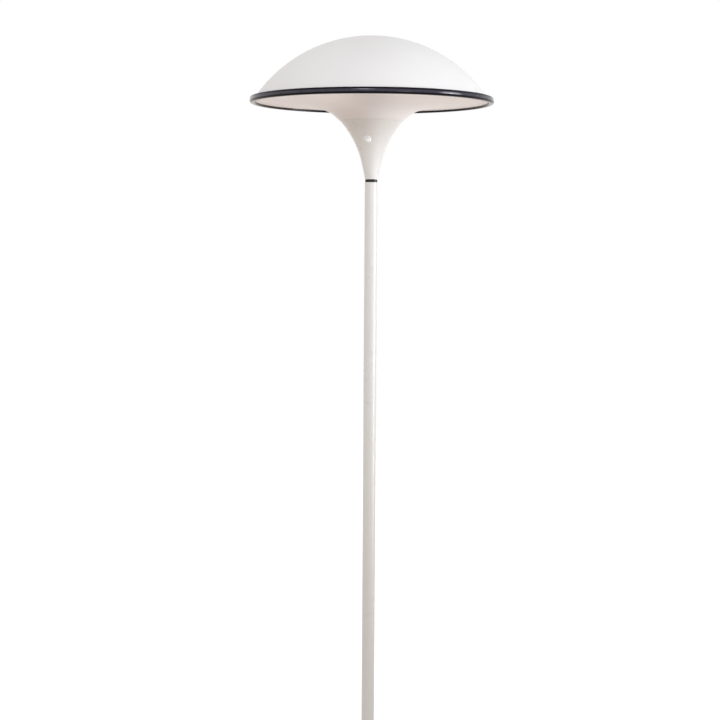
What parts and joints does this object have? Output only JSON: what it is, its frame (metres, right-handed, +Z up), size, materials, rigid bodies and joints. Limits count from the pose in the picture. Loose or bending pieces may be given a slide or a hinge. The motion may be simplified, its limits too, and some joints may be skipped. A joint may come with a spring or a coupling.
{
  "type": "floor lamp",
  "caption": "Floor lamp with a shallow white dome shade in a dark rim band, a closed funnel underside, a trumpet neck with a push button, a slim pole and a weighted round base.",
  "frame": {"origin": "on the floor, under the centre of the base", "axes": "+Z up along the pole, -Y towards the side with the push button, +Y towards the cord inlet"},
  "size_m": [0.4799, 0.48, 1.4492],
  "materials": {
    "white_lacquer": "satin lacquer",
    "flare_lacquer": "satin lacquer, warm white",
    "opal_shade": "satin opal",
    "dark_band": "gloss",
    "black_gloss": "gloss",
    "white_gloss": "gloss",
    "black_plastic": "matt",
    "white_plastic": "matt",
    "cast_iron": "rough",
    "zinc_steel": "zinc plated",
    "rubber": "matt",
    "brass": "plain",
    "porcelain": "unglazed",
    "bulb_opal": "opal",
    "bulb_metal": "plain",
    "wire_brown": "matt",
    "wire_blue": "matt",
    "wire_green": "matt"
  },
  "bodies": {
    "lamp": {"base_cover": "white_lacquer", "base_weight": "cast_iron", "base_plate": "zinc_steel", "base_plate_screws": "zinc_steel", "rubber_feet": "rubber", "inlet_grommet": "rubber", "base_terminal_block": "white_plastic", "base_terminal_screws": "brass", "base_stud": "zinc_steel", "base_nut": "zinc_steel", "base_washer": "zinc_steel", "pole_foot_insert": "zinc_steel", "pole_tube": "white_lacquer", "pole_top_insert": "zinc_steel", "collar_ring": "black_gloss", "neck_nipple": "zinc_steel", "neck_washer": "zinc_steel", "neck_nut": "zinc_steel", "neck_cone": "white_lacquer", "switch_body": "black_plastic", "switch_gasket": "rubber", "switch_bezel": "white_gloss", "switch_spring": "zinc_steel", "switch_tabs": "brass", "reflector_flare": "flare_lacquer", "rim_band": "dark_band", "holder_plate": "zinc_steel", "head_screws": "zinc_steel", "head_nuts": "zinc_steel", "earth_screw": "brass", "holder_nipple": "zinc_steel", "holder_nut": "zinc_steel", "holder_cap": "black_plastic", "holder_insert": "porcelain", "centre_contact": "brass", "thread_shell": "brass", "holder_skirt": "black_plastic", "inner_lead": "white_plastic", "wire_switch_feed": "wire_brown", "wire_switch_return": "wire_brown", "wire_neutral": "wire_blue", "wire_earth": "wire_green"},
    "dome": {"dome_shade": "opal_shade"},
    "button": {"switch_button": "white_gloss"},
    "bulb": {"bulb_glass": "bulb_opal", "bulb_cap": "bulb_metal", "bulb_insulator": "black_gloss", "bulb_contact": "brass"}
  },
  "joints": [
    {"name": "dome_lift", "type": "slide", "parent": "lamp", "child": "dome", "axis": [0, 0, 1], "range_m": [0, 0.12]},
    {"name": "button_press", "type": "slide", "parent": "lamp", "child": "button", "axis": [0.2222, 0.8593, 0.4606], "range_m": [0, 0.0025], "stiffness_N_per_m": 400, "springref_m": -0.001, "deforming": ["switch_spring"]},
    {"name": "bulb_turn", "type": "hinge", "parent": "lamp", "child": "bulb", "pos_m": [0, 0, 1.3085], "axis": [0, 0, 1], "range_deg": [0, 1260]}
  ]
}
